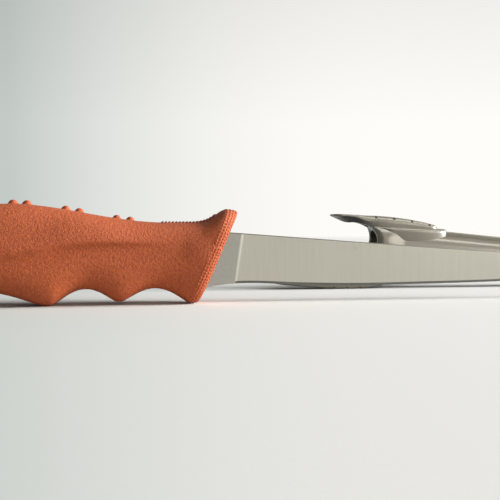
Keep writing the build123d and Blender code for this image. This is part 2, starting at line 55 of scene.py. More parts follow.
camera_data = bpy.data.cameras.new("camera")
camera_data.lens = 61.2
camera_data.sensor_width = 36.0
camera_data.clip_start = 0.01
camera = put_in_scene("camera", camera_data)
camera.location = camera_place
camera.rotation_euler = (math.pi / 2 - camera_dip, 0.0, -camera_turn)
bpy.context.scene.camera = camera

# Blade, one strip of hardened stainless steel, cut out and ground flat from its back to its
# edge. The full thickness is left at the heel, and the tang behind it is moulded into the
# handle. Lengths are in millimetres from here on, and turned to metres as points are made.

MM = 0.001
knife_y = -38.675            # the knife's middle plane
heel_x = -80.3
blade_length = 187.8
edge_lift = 6.0
heel_height = 20.0
back_half = 0.9              # half the thickness of the strip
back_drop = 0.4              # the corners of the back are broken by hand, steeply
back_inset = 0.16
edge_half = 0.25             # half the thickness left over the bevel, and at its foot
edge_least = 0.02
bevel_height = 1.0
blunt_inset = 0.35           # the edge of the unground heel is broken too
blunt_rise = 0.5
grind_start = 13.0           # the grind starts here, and further ahead at the back
grind_lean = 2.9
plunge_length = 1.4          # stretch over which the wheel runs out
tip_taper = 0.45             # share of the thickness that is gone at the tip
tip_end = 0.9985             # the last section stands just short of the point
tang_length = 95.0
tang_low = 11.6              # heights over the floor
tang_high = 24.6
tang_turns = (5, 20, 35, 50, 65, 80, 90)
shoulder_back = 9.0          # the tang widens to the blade behind the heel, at a slant
shoulder_lean = 8.61
shoulder_step = (0.1, 3.0)
heel_steps = 14
plunge_steps = 6
grind_steps = 150
edge_line = (
    (0.0, 0.0), (0.033, 0.055), (0.087, 0.085), (0.21, 0.04), (0.345, 0.015),
    (0.485, 0.03), (0.675, 0.065), (0.80, 0.12), (0.90, 0.235), (0.96, 0.385), (1.0, 0.56),
)
back_line = ((0.0, 1.147), (0.675, 0.6925), (0.85, 0.597), (1.0, 0.56))


def ease(share):
    """Smooth step from 0 to 1."""
    held = min(max(share, 0.0), 1.0)
    return held * held * (3 - 2 * held)


def along(points, place):
    """Height of a smooth line through the points at one place."""
    places = [point[0] for point in points]
    heights = [point[1] for point in points]
    last = len(points) - 1
    slopes = [(heights[i + 1] - heights[i]) / (places[i + 1] - places[i]) for i in range(last)]
    turns = [slopes[0]] + [(slopes[i] + slopes[i + 1]) / 2 for i in range(last - 1)] + [slopes[-1]]
    span = min(max(sum(1 for start in places if start <= place) - 1, 0), last - 1)
    step = places[span + 1] - places[span]
    t = (place - places[span]) / step
    rise = heights[span + 1] - heights[span]
    bend = (1 - t) * (turns[span] * step - rise) + t * (rise - turns[span + 1] * step)
    return heights[span] + t * rise + t * (1 - t) * bend


def skin(mesh, loops):
    """Join closed loops of points into one closed surface."""
    rows = [[mesh.verts.new(Vector(point) * MM) for point in loop] for loop in loops]
    for behind, before in zip(rows, rows[1:]):
        for number in range(len(behind)):
            after = (number + 1) % len(behind)
            mesh.faces.new((behind[number], behind[after], before[after], before[number]))
    mesh.faces.new(rows[0][::-1])
    mesh.faces.new(rows[-1])


def finish_piece(mesh, name, crease_degrees):
    """Turn a mesh under construction into a smooth object whose sharp edges stay sharp."""
    bmesh.ops.remove_doubles(mesh, verts=mesh.verts, dist=2e-7)
    bmesh.ops.dissolve_degenerate(mesh, edges=mesh.edges, dist=1e-7)
    bmesh.ops.recalc_face_normals(mesh, faces=mesh.faces)
    data = bpy.data.meshes.new(name)
    mesh.to_mesh(data)
    mesh.free()
    data.polygons.foreach_set("use_smooth", [True] * len(data.polygons))
    data.set_sharp_from_angle(angle=math.radians(crease_degrees))
    return put_in_scene(name, data)


def blade_loop(low, high, back, edge, foot, bevel):
    """Cross-section between two points of the side view: chamfered back, flats and edge."""
    middle = Vector(((low[0] + high[0]) / 2, knife_y, (low[1] + high[1]) / 2))
    up = Vector((high[0] - low[0], 0.0, high[1] - low[1]))
    top = up.length / 2
    up.normalize()
    inset = min(back_inset, back / 3)
    half = [(back - inset, top), (back, top - back_drop), (edge, bevel - top), (foot, -top)]
    outline = half + [(-across, rise) for across, rise in reversed(half)]
    return [middle + up * rise + Vector((0.0, across, 0.0)) for across, rise in outline]


tang_end = heel_x - tang_length
tang_round = (tang_high - tang_low) / 2
tang_middle = (tang_low + tang_high) / 2
back_top = edge_lift + heel_height * back_line[0][1]
foot_x = heel_x - shoulder_back
head_x = foot_x + shoulder_lean
tang_ends = []
for turn in map(math.radians, tang_turns):
    reach = tang_end + tang_round * (1 - math.cos(turn))
    rise = tang_round * math.sin(turn)
    tang_ends.append(((reach, tang_middle - rise), (reach, tang_middle + rise)))
tang_ends.append(((foot_x - shoulder_step[0], tang_low), (head_x - shoulder_step[1], tang_high)))
tang_ends.append(((foot_x, edge_lift), (head_x, back_top)))
blade_loops = [
    blade_loop(low, high, back_half, back_half, back_half - back_inset, back_drop)
    for low, high in tang_ends
]
plunge_x = heel_x + grind_start - plunge_length
for number in range(1, heel_steps + 1):
    share = number / heel_steps
    low_x = foot_x + (plunge_x - foot_x) * share
    high_x = head_x + (plunge_x + grind_lean - head_x) * share
    low_share = max((low_x - heel_x) / blade_length, 0.0)
    high_share = max((high_x - heel_x) / blade_length, 0.0)
    blade_loops.append(blade_loop(
        (low_x, edge_lift + heel_height * along(edge_line, low_share)),
        (high_x, edge_lift + heel_height * along(back_line, high_share)),
        back_half, back_half, back_half - blunt_inset, blunt_rise))
grind_share = grind_start / blade_length
lean_share = grind_lean / blade_length
for number in range(-plunge_steps, grind_steps + 1):
    station = max(number, 0) / grind_steps
    early = min(number, 0) / plunge_steps * plunge_length / blade_length
    share = grind_share + early + station * (tip_end - grind_share)
    head = share + lean_share * (1 - station)
    low = (heel_x + share * blade_length, edge_lift + heel_height * along(edge_line, share))
    high = (heel_x + head * blade_length, edge_lift + heel_height * along(back_line, head))
    height = math.dist(low, high)
    back = back_half * (1 - tip_taper * share) * math.sqrt(min(1.0, height / (heel_height / 2)))
    ground = ease((number + plunge_steps) / plunge_steps)
    edge = back_half + (min(edge_half, back / 2) - back_half) * ground
    foot = (back_half - blunt_inset) * (1 - ground) + edge_least
    blade_loops.append(blade_loop(low, high, back, edge, foot, min(bevel_height, height / 3)))

blade_mesh = bmesh.new()
skin(blade_mesh, blade_loops)
blade = finish_piece(blade_mesh, "ground_blade", 12.0)


def linear(code):
    """Turn an sRGB hex value into the linear colour that a shader takes."""
    parts = [int(code[place:place + 2], 16) / 255 for place in (0, 2, 4)]
    return (*(p / 12.92 if p <= 0.04045 else ((p + 0.055) / 1.055) ** 2.4 for p in parts), 1.0)


def add_node(tree, kind, inputs=(), **settings):
    """Add one shader node: its settings, then its sockets, each given a value or a link.

    A node given for a value stands for the first of its outputs that is in use.
    """
    node = tree.nodes.new("ShaderNode" + kind)
    for name, value in settings.items():
        setattr(node, name, value)
    for name, value in dict(inputs).items():
        if isinstance(value, bpy.types.Node):
            value = next(socket for socket in value.outputs if socket.enabled)
        if isinstance(value, bpy.types.NodeSocket):
            tree.links.new(value, node.inputs[name])
        else:
            node.inputs[name].default_value = value
    return node


def new_material(name):
    """Start a material that holds no nodes yet."""
    material = bpy.data.materials.new(name)
    material.use_nodes = True
    material.node_tree.nodes.clear()
    return material, material.node_tree


def dress(name, material):
    """Give a CAD node its material."""
    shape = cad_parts[name].data
    shape.materials.clear()
    shape.materials.append(material)


def streaks(tree, spread, detail):
    """Add clouds that are stretched, so many to the metre along each direction."""
    place = add_node(tree, "TexCoord")
    stretched = add_node(tree, "Mapping", {"Vector": place.outputs["Object"], "Scale": spread})
    return add_node(tree, "TexNoise", {"Vector": stretched, "Scale": 1.0, "Detail": detail})


# Stainless steel, satin ground: soft grey reflections, with fine lines from back to edge. The
# real grit is near 0.05 mm, drawn at 0.4 mm so that it shows.
steel, tree = new_material("satin_ground_stainless_steel")
grind_lines = streaks(tree, (2500.0, 400.0, 60.0), 3.0)
broad_lines = streaks(tree, (160.0, 40.0, 12.0), 2.0)
grind_bump = add_node(tree, "Bump", {
    "Height": grind_lines,
    "Strength": 0.15,
    "Distance": 0.1 * MM,
})
grind_rough = add_node(tree, "MapRange", {
    "Value": broad_lines,
    "From Min": 0.3,
    "From Max": 0.7,
    "To Min": 0.27,
    "To Max": 0.37,
})
steel_tone = add_node(tree, "Mix", {
    "Factor": grind_lines,
    "A": linear("b9b7ad"),
    "B": linear("c6c4b9"),
}, data_type="RGBA")
steel_shader = add_node(tree, "BsdfPrincipled", {
    "Base Color": steel_tone,
    "Metallic": 1.0,
    "Roughness": grind_rough,
    "Normal": grind_bump,
})
add_node(tree, "OutputMaterial", {"Surface": steel_shader})
blade.data.materials.append(steel)


def cloud(tree, scale, detail, dark, light):
    """Add clouds, so many to the metre, and the colour that they give between two tones."""
    place = add_node(tree, "TexCoord")
    clouds = add_node(tree, "TexNoise", {
        "Vector": place.outputs["Object"],
        "Scale": scale,
        "Detail": detail,
    })
    tone = add_node(tree, "Mix", {
        "Factor": clouds,
        "A": linear(dark),
        "B": linear(light),
    }, data_type="RGBA")
    return clouds, tone


# The same steel where the strip was only tumbled, by the handle, with no lines and painted a
# little darker as painted shade; and where it was cut and stoned, on the back and the edge's
# bevel, dull and painted dark as painted shade. The marks of both are too fine to show, and are
# drawn 1.4 and 0.8 mm wide.
for name, scale, detail, dark, light, roughness in (
    ("tumbled_steel_with_painted_shade", 700.0, 3.0, "a5a59f", "b2b2ac", 0.34),
    ("stoned_steel_with_painted_shade", 1200.0, 2.0, "62625e", "72726d", 0.5),
):
    plain, tree = new_material(name)
    _, plain_tone = cloud(tree, scale, detail, dark, light)
    plain_shader = add_node(tree, "BsdfPrincipled", {
        "Base Color": plain_tone,
        "Metallic": 1.0,
        "Roughness": roughness,
    })
    add_node(tree, "OutputMaterial", {"Surface": plain_shader})
    blade.data.materials.append(plain)
# Painted shade: faces of the back and the bevel take the dark stoned steel, and the heel the
# darker tumbled steel.
stoned_slope = 0.2           # faces that look up or down by more than this are stoned
finish_share = 0.6           # the finishes meet this share of the plunge behind the grind
finish_x = heel_x + grind_start - plunge_length * finish_share
for face in blade.data.polygons:
    centre = face.center / MM
    slope = face.normal.z
    if slope > stoned_slope or (slope < -stoned_slope and centre.x > finish_x):
        face.material_index = 2
    elif centre.x < finish_x + grind_lean * (centre.z - edge_lift) / heel_height:
        face.material_index = 1
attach(blade, "knife")
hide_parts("blade")

# Core of the handle, hard nylon moulded round the tang. Only the two ends of its ring show,
# in the lanyard hole.


def moulded_nylon(name, scale, strength, detail, dark, light, roughness):
    """Nylon with the dull shine of a spark-eroded mould and its fine pits."""
    nylon, tree = new_material(name)
    pits, tone = cloud(tree, scale, detail, dark, light)
    pit_bump = add_node(tree, "Bump", {
        "Height": pits,
        "Strength": strength,
        "Distance": 0.1 * MM,
    })
    shader = add_node(tree, "BsdfPrincipled", {
        "Base Color": tone,
        "Roughness": roughness,
        "IOR": 1.53,
        "Normal": pit_bump,
    })
    add_node(tree, "OutputMaterial", {"Surface": shader})
    return nylon


# Nylon, moulded: near black. The pits are drawn 0.6 mm wide so that they show.
dress("handle_core", moulded_nylon(
    "moulded_black_nylon", 1800.0, 0.25, 2.0, "1c1c1b", "2a2a28", 0.5))

# Grip, soft orange rubber moulded over the core in one shot. Its texture is etched in the
# mould: a fine stipple all over, ribs on the thumb ramp, and dots round the rim of the guard.

lobe_x = -85.5               # place of the front lobe
grip_back = 115.0            # butt to front lobe
grip_half = 14.0             # half widths at the swell, waist, guard and butt
waist_half = 11.0
guard_half = 12.3
butt_half = 11.75
palm_top = 39.3              # heights over the floor
waist_top = 32.1
guard_top = 37.35
butt_top = 34.0
waist_back = 8.0             # places behind the front lobe
palm_back = 70.0
swell_back = 84.0
ramp_start = 1.0
ramp_end = 13.6
ramp_bend = 1.6              # the ramp and the palm rise slowly at first
palm_bend = 1.1
crest_low = 0.45             # where a side is widest, and how much higher near the guard
crest_more = 0.17
guard_foot = 1.75
guard_rise = math.tan(math.radians(23.3))
rim_radius = 2.6             # the rim rolls in over this much, and runs ahead over its length
rim_length = 4.2
rim_top_less = 1.0           # at the top it rolls in less, and runs ahead more
rim_top_more = 0.5
lean_start = 46.0
butt_round = 9.0
squareness = 3.2
lobes = ((106.5, 1.6, 0.5), (55.9, 0.0, 0.9), (28.9, 1.1, 0.3), (0.0, 0.0, 0.3))
groove_depths = (5.0, 5.6, 5.6)
lobe_round = 0.22


def under_height(back):
    """Height of the grip's underside: finger grooves between lobes."""
    for (far, far_lift, far_rest), (near, near_lift, near_rest), depth in zip(
        lobes, lobes[1:], groove_depths,
    ):
        if back > far - far_rest:
            return far_lift
        if back >= near + near_rest:
            share = (back - near - near_rest) / (far - far_rest - near - near_rest)
            wave = math.hypot(math.sin(math.pi * share), lobe_round) - lobe_round
            hollow = depth * wave / (math.hypot(1, lobe_round) - lobe_round)
            return near_lift + (far_lift - near_lift) * share + hollow
    return 0.0


def over_height(back):
    """Height of the grip's back: thumb ramp, waist, palm swell and butt."""
    if back < waist_back:
        share = max((-ramp_start - back) / (ramp_end - ramp_start), 0.0)
        return waist_top + (guard_top - waist_top) * ease(share ** ramp_bend)
    if back < palm_back:
        share = (back - waist_back) / (palm_back - waist_back)
        return waist_top + (palm_top - waist_top) * ease(share ** palm_bend)
    share = (back - palm_back) / (grip_back - palm_back)
    return palm_top + (butt_top - palm_top) * ease(share)


def half_width(back):
    """Half the width of the grip in plan."""
    if back < waist_back:
        share = (waist_back - back) / (waist_back + ramp_end)
        return waist_half + (guard_half - waist_half) * ease(share)
    if back < swell_back:
        share = (back - waist_back) / (swell_back - waist_back)
        return waist_half + (grip_half - waist_half) * ease(share)
    share = (back - swell_back) / (grip_back - swell_back)
    return grip_half + (butt_half - grip_half) * ease(share)


def crest_share(back):
    """Where the side is widest, as a share of its height."""
    return crest_low + crest_more * ease((swell_back - back) / (swell_back - waist_back))


def lean_at(back):
    """How far the top of a section is ahead of its foot."""
    share = (lean_start - back) / (lean_start + guard_foot)
    return guard_top * guard_rise * ease(share) if share > 0 else 0.0


def foot_under(head_back):
    """Place of the foot of the section whose head is at one place."""
    near = head_back
    far = head_back + guard_top
    for _ in range(30):
        back = (near + far) / 2
        if back - lean_at(back) < head_back:
            near = back
        else:
            far = back
    return near


def section(back):
    """Middle, up, ahead, half width, half height and crest of the section at one place."""
    head_back = back - lean_at(back)
    low = Vector((lobe_x - back, knife_y, under_height(back)))
    high = Vector((lobe_x - head_back, knife_y, over_height(head_back)))
    up = (high - low).normalized()
    ahead = Vector((up.z, 0.0, -up.x))
    middle = (back + head_back) / 2
    half_up = (high - low).length / 2
    return (low + high) / 2, up, ahead, half_width(middle), half_up, crest_share(middle)


def round_point(angle, half_across, half_up, crest):
    """Point on the squarish egg of a section: across, up."""
    widest = half_up * (2 * crest - 1)
    across = math.cos(angle)
    rise = math.sin(angle)
    reach = half_up - widest if rise > 0 else half_up + widest
    return (
        math.copysign(half_across * abs(across) ** (2 / squareness), across),
        widest + math.copysign(reach * abs(rise) ** (2 / squareness), rise),
    )


# The soft crease along the side: heights over the floor, by places behind the front lobe
crease_line = (
    (4.0, 24.5), (18.0, 24.8), (33.0, 24.9), (50.0, 23.9), (61.0, 21.5), (72.0, 19.9),
    (86.0, 18.6), (112.0, 17.5),
)
crease_height = 1.9
crease_over = 6.0            # how far it spreads upwards
crease_under = 1.6           # and downwards
crease_start = 12.0          # it rises over a stretch behind the guard, and sinks at the butt
crease_in = 26.0
crease_stop = 4.0
crease_out = 18.0
side_least = 0.4             # the middle of the back and of the underside stays plain
side_gain = 1.6              # and the carving grows this fast beside it
thumb_dish = (-84.3, 21.2, 7.6, 6.8, 0.5)   # place, height, half length, half height, depth


def carved(point, across, back):
    """Raise the crease of the side and sink the thumb dish, as an outward distance."""
    if abs(across) < side_least:
        return 0.0
    place = min(max(lobe_x - point.x, crease_line[0][0]), crease_line[-1][0])
    climb = point.z - along(crease_line, place)
    spread = crease_over if climb > 0 else crease_under
    fade = ease((back - crease_start) / crease_in)
    fade *= ease((grip_back - crease_stop - back) / crease_out)
    out = crease_height * math.exp(-(climb / spread) ** 2) * fade
    dish_x, dish_z, dish_length, dish_height, dish_depth = thumb_dish
    far = math.hypot((point.x - dish_x) / dish_length, (point.z - dish_z) / dish_height)
    if far < 1.0:
        out -= dish_depth * (1 - far * far) ** 2
    return out


around = 240
butt_steps = 12
rim_steps = 12
face_steps = 6
section_pitch = 0.5
butt_least = 0.02            # the butt closes on a section of this scale
places = []


def ring(count):
    """Angles of so many points round a circle."""
    return [2 * math.pi * number / count for number in range(count)]


for number in range(butt_steps):
    turn = math.pi / 2 * number / butt_steps
    places.append((grip_back - butt_round * (1 - math.cos(turn)), max(math.sin(turn), butt_least)))
first = grip_back - butt_round
last = -guard_foot + rim_length
steps = int((first - last) / section_pitch)
places += [(first + (last - first) * number / steps, 1.0) for number in range(steps + 1)]


def skin_point(back, angle, scale=1.0):
    """Point of the grip's side at one place and angle, with its carving."""
    middle, up, ahead, half_across, half_up, crest = section(back)
    side_out, side_up = round_point(angle, half_across * scale, half_up * scale, crest)
    point = middle + up * side_up + Vector((0.0, side_out, 0.0))
    across = math.cos(angle)
    out = carved(point, across, back) * scale * min(abs(across) * side_gain, 1.0)
    return point + Vector((0.0, math.copysign(out, across), 0.0))


roll_length = 5.4            # along the roll


def rolled_point(lead, angle):
    """Point of the guard, by how far it lies over the rolled rim from where the roll starts."""
    if lead < 0:
        return skin_point(last - lead, angle)
    middle, up, ahead, half_across, half_up, crest = section(last)
    turn = min(lead / roll_length, 1.0) * math.pi / 2
    top = max(math.sin(angle), 0.0) ** 3
    inset = (rim_radius - rim_top_less * top) * (1 - math.cos(turn))
    ahead_by = (rim_length + rim_top_more * top) * math.sin(turn)
    side_out, side_up = round_point(angle, half_across - inset, half_up - inset, crest)
    lift = ahead_by * guard_rise * top
    return middle + ahead * ahead_by + up * (side_up + lift) + Vector((0.0, side_out, 0.0))


angles = ring(around)
grip_loops = [[skin_point(back, angle, scale) for angle in angles] for back, scale in places]
for number in range(1, rim_steps + 1):
    grip_loops.append([rolled_point(roll_length * number / rim_steps, angle) for angle in angles])
middle, up, ahead, half_across, half_up, crest = section(last)
face_rim = grip_loops[-1]
for number in range(1, face_steps):
    share = 1 - number / face_steps
    face_middle = middle + ahead * rim_length
    grip_loops.append([face_middle + (point - face_middle) * share for point in face_rim])
grip_mesh = bmesh.new()
skin(grip_mesh, grip_loops)
grip_body = finish_piece(grip_mesh, "grip_body", 40.0)

# The lanyard hole, cut through with a rounded lip on both sides
hole_x = -187.0
hole_z = 18.5
hole_radius = 5.6
hole_lip = 1.1
hole_half = 12.45            # half the width of the grip there
hole_over = 4.0              # the cutter stands out on both sides
hole_sides = 48
lip = [
    (hole_radius + hole_lip * (1 - math.sin(turn)), hole_half - hole_lip * (1 - math.cos(turn)))
    for turn in map(math.radians, range(90, -1, -15))
]
lip.append((hole_radius + hole_lip, hole_half + hole_over))
cutter_profile = [(radius, -out) for radius, out in reversed(lip)] + lip
cutter_mesh = bmesh.new()
skin(cutter_mesh, [
    [
        (hole_x + radius * math.cos(turn), knife_y + out, hole_z + radius * math.sin(turn))
        for turn in ring(hole_sides)
    ]
    for radius, out in cutter_profile
])
cutter = finish_piece(cutter_mesh, "hole_cutter", 30.0)
cut = grip_body.modifiers.new("lanyard_hole", "BOOLEAN")
cut.operation = "DIFFERENCE"
cut.solver = "EXACT"
cut.object = cutter
cut_data = bpy.data.meshes.new_from_object(
    grip_body.evaluated_get(bpy.context.evaluated_depsgraph_get()))
bpy.data.objects.remove(cutter)
bpy.data.objects.remove(grip_body)
grip_mesh = bmesh.new()
grip_mesh.from_mesh(cut_data)

# Round bumps in pairs along the back
bump_places = (27.0, 46.6, 66.4, 86.2)
bump_radii = (1.6, 1.75, 1.9, 2.0)
bump_spacing = 5.2
bump_sides = 28
bump_sunk = 0.15
back_flat = 0.8              # the back is this much flatter than the section
# Reach and rise of the fillet at the foot, as shares of the radius, and what the rise has more
bump_foot = ((1.03, 0.1, 0.0), (1.14, 0.0, 0.0), (1.3, 0.0, -0.15))


def arch(share, power):
    """Height left at one share of the width, under an arch as square as its power."""
    return max(1 - min(abs(share), 1.0) ** power, 0.0) ** (1 / power)


def back_height(back, side_out):
    """Height of the grip's back beside its middle line."""
    half_up = (over_height(back) - under_height(back)) / 2
    rest = arch(side_out / half_width(back), squareness)
    return over_height(back) - half_up * back_flat * (1 - rest)


for bump_place, radius in zip(bump_places, bump_radii):
    for back in (bump_place - bump_spacing / 2, bump_place + bump_spacing / 2):
        profile = [
            (radius * math.sin(turn), radius * (math.cos(turn) - bump_sunk))
            for turn in map(math.radians, range(2, 75, 8))
        ]
        profile += [(radius * wide, radius * rise + more) for wide, rise, more in bump_foot]
        bump_loops = []
        for reach, rise in profile:
            loop = []
            for turn in ring(bump_sides):
                ahead_by = reach * math.cos(turn)
                aside = reach * math.sin(turn)
                share = min(max(rise / radius * 2, 0.0), 1.0)
                beside = back_height(back - ahead_by, aside)
                level = beside * (1 - share) + over_height(back) * share
                loop.append((lobe_x - back + ahead_by, knife_y + aside, level + rise))
            bump_loops.append(loop)
        skin(grip_mesh, bump_loops)

# Ribs across the thumb ramp, half round
rib_count = 16
rib_pitch = 1.37
rib_first = 11.7
rib_half_reach = 5.0
rib_half_width = 0.36
rib_height = 0.55
rib_ramp_more = 0.6          # how much taller the ribs on the ramp are
rib_ramp_first = 8           # they grow from this one on, over this many
rib_ramp_over = 5
rib_sunk = 0.2
rib_lengthwise = 22
rib_across = 7
for rib in range(rib_count):
    rib_foot = foot_under(rib_first - rib * rib_pitch)
    middle, up, ahead, half_across, half_up, crest = section(rib_foot)
    widest = half_up * (2 * crest - 1)
    tall = rib_height + rib_sunk + rib_ramp_more * ease((rib - rib_ramp_first) / rib_ramp_over)
    rib_loops = []
    for number in range(rib_lengthwise + 1):
        share = 2 * number / rib_lengthwise - 1
        side_out = share * rib_half_reach
        side_up = widest + (half_up - widest) * arch(side_out / half_across, squareness)
        end = math.sqrt(max(1 - share ** 8, 0.0))
        rib_loops.append([
            middle + Vector((0.0, side_out, 0.0))
            + up * (side_up + tall * math.sin(turn) * end - rib_sunk)
            + ahead * rib_half_width * math.cos(turn)
            for turn in (math.pi * step / (rib_across - 1) for step in range(rib_across))
        ])
    skin(grip_mesh, rib_loops)

# Rows of dots that run round the rim of the guard, each row set between those beside it
dot_leads = (4.3, 3.3, 2.3, 1.3, 0.3)
dot_pitch = 1.3
dot_half_length = 0.5
dot_half_width = 0.34
dot_height = 0.28
dot_sunk = 0.04
dot_sides = 8
dot_profile = ((1.12, -0.4), (0.95, 0.35), (0.62, 0.8), (0.22, 1.0))   # width, height
for row, lead in enumerate(dot_leads):
    path = [rolled_point(lead, angle) for angle in angles]
    lengths = [0.0]
    for one, two in zip(path, path[1:] + path[:1]):
        lengths.append(lengths[-1] + (two - one).length)
    count = round(lengths[-1] / dot_pitch)
    for number in range(count):
        reach = lengths[-1] * (number + (row % 2) / 2) / count
        span = max(index for index in range(around) if lengths[index] <= reach)
        share = (reach - lengths[span]) / (lengths[span + 1] - lengths[span])
        angle = 2 * math.pi * (span + share) / around
        centre = rolled_point(lead, angle)
        run = (rolled_point(lead, angle + 0.01) - centre).normalized()
        climb = (rolled_point(lead + 0.05, angle) - centre).normalized()
        normal = run.cross(climb).normalized()
        if normal.dot(centre - middle) < 0:
            normal = -normal
        skin(grip_mesh, [
            [
                centre + normal * (dot_height * rise - dot_sunk)
                + run * dot_half_length * wide * math.cos(turn)
                + climb * dot_half_width * wide * math.sin(turn)
                for turn in ring(dot_sides)
            ]
            for wide, rise in dot_profile
        ])

grip = finish_piece(grip_mesh, "moulded_grip", 45.0)

# Thermoplastic rubber, moulded and etched: matt orange, with a worm-like stipple that catches
# the light, and painted shade in its hollows. The real one is near 0.5 mm, drawn at 0.8.
rubber, tree = new_material("moulded_orange_rubber")
place = add_node(tree, "TexCoord")
stipple = add_node(tree, "TexNoise", {
    "Vector": place.outputs["Object"],
    "Scale": 1150.0,
    "Detail": 1.5,
    "Roughness": 0.5,
    "Distortion": 0.8,
})
stipple_bump = add_node(tree, "Bump", {
    "Height": stipple,
    "Strength": 0.55,
    "Distance": 0.5 * MM,
})
_, rubber_tone = cloud(tree, 160.0, 3.0, "ab4f21", "b35729")
# Painted shade: the stipple's hollows are coloured darker.
stipple_painted_shade_mask = add_node(tree, "MapRange", {
    "Value": stipple,
    "From Min": 0.35,
    "From Max": 0.65,
})
rubber_tone_with_painted_shade = add_node(tree, "Mix", {
    "Factor": stipple_painted_shade_mask,
    "A": linear("9d441c"),
    "B": rubber_tone,
}, data_type="RGBA")
rubber_shader = add_node(tree, "BsdfPrincipled", {
    "Base Color": rubber_tone_with_painted_shade,
    "Roughness": 0.78,
    "IOR": 1.5,
    "Normal": stipple_bump,
})
add_node(tree, "OutputMaterial", {"Surface": rubber_shader})
grip.data.materials.append(rubber)
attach(grip, "knife")
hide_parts("handle_grip")

# Sheath, two halves moulded in glass-filled nylon with a thin wall, and welded along their
# middle. Each half carries its half of the rail, of the two ridges and of their tongues.

sheath_y = 31.325
mouth_x = 13.5
sheath_length = 187.0
wall = 1.8
tube_width = 15.5
tail_width = 10.5
tube_top = 31.8
tube_foot = 5.6
tail_top = 13.6
tail_round = 7.0
foot_end = 175.0
pocket_end = 183.0
pocket_roof = 1.0
drain_radius = 1.6
drain_depth = 2.5
rail_start = 20.0
rail_half = 2.3
rail_height = 2.2
rail_edge = (0.7, 0.7)
shell_squareness = 2.4
collar_length = 18.0
collar_foot_length = 30.0
collar_side_length = 14.0
collar_proud = 1.2
collar_top_proud = 2.4
collar_soft = 10.0           # the collar fades softly into the tube
collar_turn = (0.4, 0.5)     # it turns from side to top or foot from this rise on, over this
seam_gap = 0.03
seam_groove = 0.16
arc_steps = 80
rim_line = (
    (-0.25, -0.62), (-0.08, -0.42), (0.08, -0.28), (0.24, -0.17), (0.42, -0.08), (0.63, -0.015),
    (0.74, 0.0), (0.86, -0.03), (0.98, -0.10), (1.10, -0.15), (1.20, -0.17),
)
tube_height = tube_top - tube_foot


def top_at(depth):
    """Height of the rail's top."""
    return tube_top + (tail_top - tube_top) * depth / sheath_length


def collar_cover(depth, rise):
    """How fully the collar covers the tube at one place, from 0 to 1."""
    reach = collar_length if rise > 0 else collar_foot_length
    high = ease((abs(rise) - collar_turn[0]) / collar_turn[1])
    end = collar_side_length + (reach - collar_side_length) * high
    return ease((end - depth) / collar_soft)


def shell_point(depth, angle, inside=False, scale=1.0, sunk=0.0):
    """Across and height of the tube's section, on its outside or in its pocket."""
    inset = wall if inside else 0.0
    foot = tube_foot * max(1 - depth / foot_end, 0.0) + inset
    top = top_at(depth) - rail_height - (pocket_roof if inside else 0.0)
    half = (tube_width + (tail_width - tube_width) * depth / sheath_length) / 2 - inset
    across = abs(math.cos(angle))
    rise = math.sin(angle)
    cover = 0.0 if inside else collar_cover(depth, rise)
    out = half * scale + cover * collar_proud - sunk
    over = (top - foot) / 2 * scale + cover * (collar_top_proud if rise > 0 else collar_proud)
    height = (top + foot) / 2 + math.copysign(over * abs(rise) ** (2 / shell_squareness), rise)
    return out * across ** (2 / shell_squareness), height


def rim_depth(angle, inside):
    """Place of the mouth's rim on the line that runs along the tube at one angle."""
    depth = -4.0
    for _ in range(12):
        height = shell_point(depth, angle, inside)[1]
        share = min(max((height - tube_foot) / tube_height, -0.25), 1.2)
        depth = tube_height * along(rim_line, share)
    return depth


shell_angles = [-math.pi / 2 + math.pi * number / arc_steps for number in range(arc_steps + 1)]
outer_rim = [rim_depth(angle, False) for angle in shell_angles]
inner_rim = [rim_depth(angle, True) for angle in shell_angles]
rim_fade = 9.0
rim_roll = 2.6               # the outside rolls in towards the mouth
rim_sunk = 1.2
lip_line = ((0.5, 0.42), (0.28, 0.38), (0.12, 0.26), (0.03, 0.1))   # share of the wall, ahead


def shell_arc(reach, inside, scale=1.0):
    """Line round half the tube, from its foot to its top, as depth, across and height."""
    rims = inner_rim if inside else outer_rim
    sunk = 0.0 if inside else rim_sunk * max(1 - reach / rim_roll, 0.0) ** 2
    arc = []
    for angle, rim in zip(shell_angles, rims):
        depth = reach + rim * math.exp(-reach / rim_fade)
        arc.append((depth, *shell_point(depth, angle, inside, scale, sunk)))
    if not inside:
        groove = seam_groove * scale
        arc[0] = (arc[0][0], 0.0, arc[0][2] + groove)
        arc[-1] = (arc[-1][0], 0.0, arc[-1][2] - groove)
    return arc


def blend_arcs(one, two, share, ahead_by):
    """Line part of the way from one arc to another, moved ahead of the mouth."""
    return [
        (p[0] + (q[0] - p[0]) * share - ahead_by, p[1] + (q[1] - p[1]) * share,
         p[2] + (q[2] - p[2]) * share)
        for p, q in zip(one, two)
    ]


